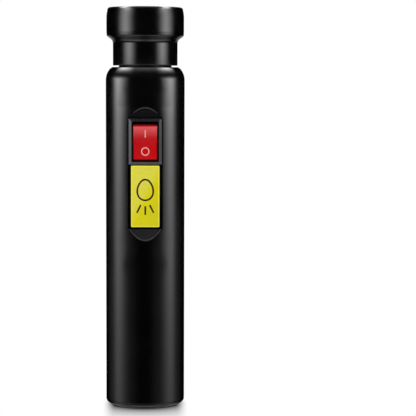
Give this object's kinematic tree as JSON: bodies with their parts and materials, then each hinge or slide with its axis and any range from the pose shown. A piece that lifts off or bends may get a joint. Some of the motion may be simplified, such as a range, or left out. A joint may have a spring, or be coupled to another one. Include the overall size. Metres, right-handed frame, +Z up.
{
  "type": "egg candling lamp",
  "caption": "Upright hand-held egg candling lamp: a black tube with a round egg cup over a light, a red rocker switch on a front flat and a plug-in power inlet under the base.",
  "frame": {"origin": "on the lamp's axis, in the plane of the table that the base stands on", "axes": "+Z up along the lamp towards the egg cup, -Y out of the front flat with the switch"},
  "size_m": [0.0356, 0.0378, 0.1788],
  "materials": {
    "handle_black": "fine-textured matt",
    "cup_rubber": "smooth satin",
    "neck_black": "black anodised",
    "seal_rubber": "matt",
    "lens_clear": "clear",
    "reflector_bright": "polished",
    "led_ceramic": "matt",
    "led_phosphor": "clear silicone over yellow phosphor",
    "board_white": "white solder mask",
    "sink_aluminium": "turned",
    "steel": "bright zinc",
    "switch_black": "satin nylon",
    "rocker_red": "satin",
    "plunger_cream": "natural nylon",
    "contact_brass": "stamped",
    "plated_contact": "nickel plated",
    "label_yellow": "printed film",
    "resistor_blue": "lacquered",
    "lead_red": "insulation",
    "lead_black": "insulation"
  },
  "bodies": {
    "lamp": {"body_tube": "handle_black", "base_cap": "handle_black", "cap_seal": "seal_rubber", "dc_jack": "switch_black", "jack_pin": "plated_contact", "jack_washer": "steel", "jack_nut": "steel", "jack_tab": "plated_contact", "neck_tube": "neck_black", "front_lens": "lens_clear", "lens_ring": "neck_black", "lens_seal": "seal_rubber", "reflector": "reflector_bright", "led_package": "led_ceramic", "led_dome": "led_phosphor", "led_board": "board_white", "led_screws": "steel", "heat_sink": "sink_aluminium", "switch_housing": "switch_black", "common_terminal": "contact_brass", "load_terminal": "contact_brass", "spade_connectors": "plated_contact", "name_label": "label_yellow", "series_resistor": "resistor_blue", "supply_lead": "lead_red", "switched_lead": "lead_red", "return_lead": "lead_black", "jack_sleeves": "lead_black"},
    "rocker": {"rocker": "rocker_red", "rocker_plunger": "plunger_cream", "plunger_spring": "steel"},
    "contact": {"contact_lever": "contact_brass"},
    "cup": {"egg_cup": "cup_rubber"}
  },
  "joints": [
    {"name": "rocker_tilt", "type": "hinge", "parent": "lamp", "child": "rocker", "pos_m": [0, -0.01524, 0.11945], "axis": [-1, 0, 0], "range_deg": [0, 20]},
    {"name": "contact_tilt", "type": "hinge", "parent": "lamp", "child": "contact", "pos_m": [0, -0.00674, 0.11945], "axis": [1, 0, 0], "range_deg": [0, 16]},
    {"name": "cup_pull", "type": "slide", "parent": "lamp", "child": "cup", "axis": [0, 0, 1], "range_m": [0, 0.025]}
  ],
  "couplings": [
    {"joint": "contact_tilt", "follows": "rocker_tilt", "ratio": 0.8}
  ]
}
